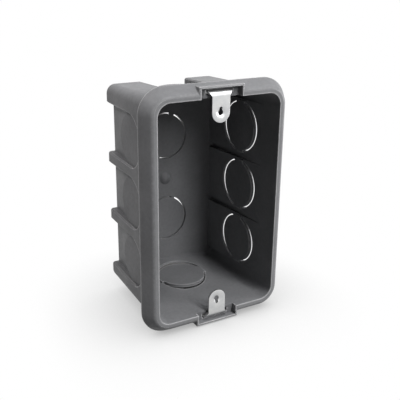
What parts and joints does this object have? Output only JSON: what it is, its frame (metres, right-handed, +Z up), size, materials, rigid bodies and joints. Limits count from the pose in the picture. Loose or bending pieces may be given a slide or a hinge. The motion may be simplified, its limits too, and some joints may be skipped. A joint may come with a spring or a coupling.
{
  "type": "switch box",
  "caption": "Rectangular plastic flush wall box for a switch: bevelled hollow rim, tapered ribbed walls with knock-out discs, and bent metal lugs with screw holes for the device.",
  "frame": {"origin": "midway between the two screw holes, on the front faces of the lugs", "axes": "+Z up along the line through the screw holes, +Y from the open front into the box, +X to the right seen from the front"},
  "size_m": [0.0684, 0.0528, 0.1066],
  "materials": {
    "body_plastic": "grey moulded plastic, satin matte",
    "lug_steel": "bright zinc plating"
  },
  "bodies": {
    "root": {"box_body": "body_plastic", "upper_lug": "lug_steel", "lower_lug": "lug_steel"}
  },
  "joints": []
}
